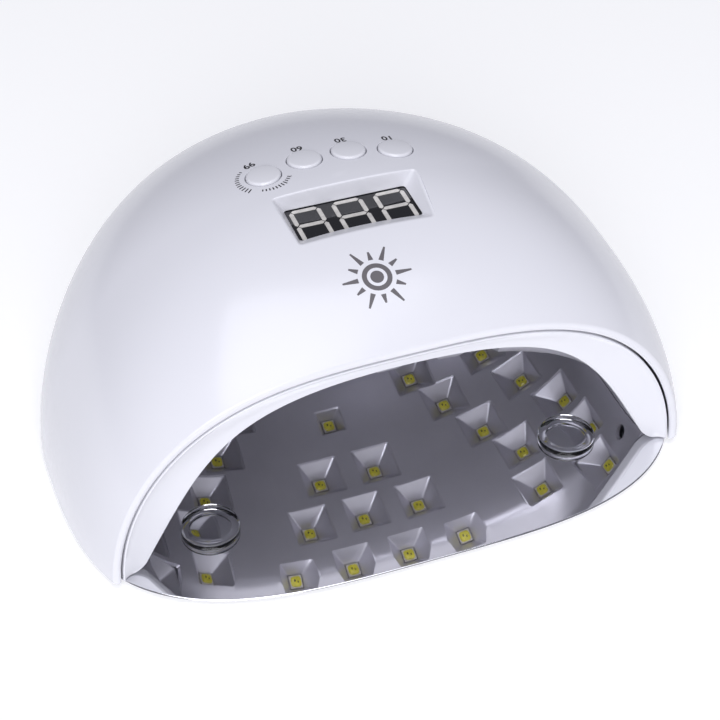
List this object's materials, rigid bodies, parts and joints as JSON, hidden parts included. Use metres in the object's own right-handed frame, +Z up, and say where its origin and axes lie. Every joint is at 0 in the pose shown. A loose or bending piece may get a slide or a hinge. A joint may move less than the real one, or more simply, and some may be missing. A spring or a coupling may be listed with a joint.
{
  "type": "uv curing lamp",
  "caption": "Domed desktop UV curing lamp, open at the front over a mirror-steel tray, with time buttons, a recessed display and LED pockets in its reflector.",
  "frame": {"origin": "on the standing surface, under the middle of the lamp's bounding box", "axes": "+Z up, the open hand chamber faces -Y, +X to the right seen from the front"},
  "size_m": [0.22, 0.1782, 0.0966],
  "materials": {
    "white_shell": "glossy injection-moulded ABS, cool white",
    "white_button": "glossy white ABS",
    "mirror_steel": "mirror-polished stainless sheet",
    "metallised_reflector": "vacuum-metallised satin plastic",
    "led_strip": "white solder mask with LED packages, yellow-green phosphor",
    "circuit_board": "green solder mask",
    "sensor_black": "black moulded plastic",
    "smoked_window": "polished smoked black window with pale unlit segments",
    "clear_silicone": "clear soft plastic",
    "foot_rubber": "matte black rubber",
    "lead_sleeve": "black PVC sleeve",
    "zinc_steel": "zinc-plated steel"
  },
  "bodies": {
    "tray": {"base_tray": "mirror_steel", "foot_front_left": "foot_rubber", "foot_front_right": "foot_rubber", "foot_rear_left": "foot_rubber", "foot_rear_right": "foot_rubber", "clear_pad_left": "clear_silicone", "clear_pad_right": "clear_silicone"},
    "housing": {"top_shell": "white_shell", "front_rim": "white_shell", "reflector_liner": "metallised_reflector", "led_strip_front": "led_strip", "led_strip_middle": "led_strip", "led_strip_rear": "led_strip", "led_strip_crown": "led_strip", "led_strip_back_left": "led_strip", "led_strip_back_right": "led_strip", "led_strip_side_left": "led_strip", "led_strip_side_right": "led_strip", "hand_sensor_left": "sensor_black", "hand_sensor_right": "sensor_black", "control_board": "circuit_board", "display_module": "sensor_black", "display_window": "smoked_window", "switch_double_power": "sensor_black", "switch_60s": "sensor_black", "switch_30s": "sensor_black", "switch_10s": "sensor_black", "dc_jack": "sensor_black", "power_lead": "lead_sleeve", "magnet_1": "zinc_steel", "magnet_2": "zinc_steel", "magnet_3": "zinc_steel", "magnet_4": "zinc_steel", "housing_screw_1": "zinc_steel", "housing_screw_2": "zinc_steel", "housing_screw_3": "zinc_steel", "housing_screw_4": "zinc_steel", "board_screw_1": "zinc_steel", "board_screw_2": "zinc_steel", "board_screw_3": "zinc_steel", "board_screw_4": "zinc_steel"},
    "button_double_power": {"button_double_power": "white_button"},
    "button_60s": {"button_60s": "white_button"},
    "button_30s": {"button_30s": "white_button"},
    "button_10s": {"button_10s": "white_button"}
  },
  "joints": [
    {"name": "housing_lift", "type": "slide", "parent": "tray", "child": "housing", "axis": [0, 0, 1], "range_m": [0, 0.04]},
    {"name": "press_double_power", "type": "slide", "parent": "housing", "child": "button_double_power", "axis": [0, 0, -1], "range_m": [0, 0.0008], "stiffness_N_per_m": 800},
    {"name": "press_60s", "type": "slide", "parent": "housing", "child": "button_60s", "axis": [0, 0, -1], "range_m": [0, 0.0008], "stiffness_N_per_m": 800},
    {"name": "press_30s", "type": "slide", "parent": "housing", "child": "button_30s", "axis": [0, 0, -1], "range_m": [0, 0.0008], "stiffness_N_per_m": 800},
    {"name": "press_10s", "type": "slide", "parent": "housing", "child": "button_10s", "axis": [0, 0, -1], "range_m": [0, 0.0008], "stiffness_N_per_m": 800}
  ]
}
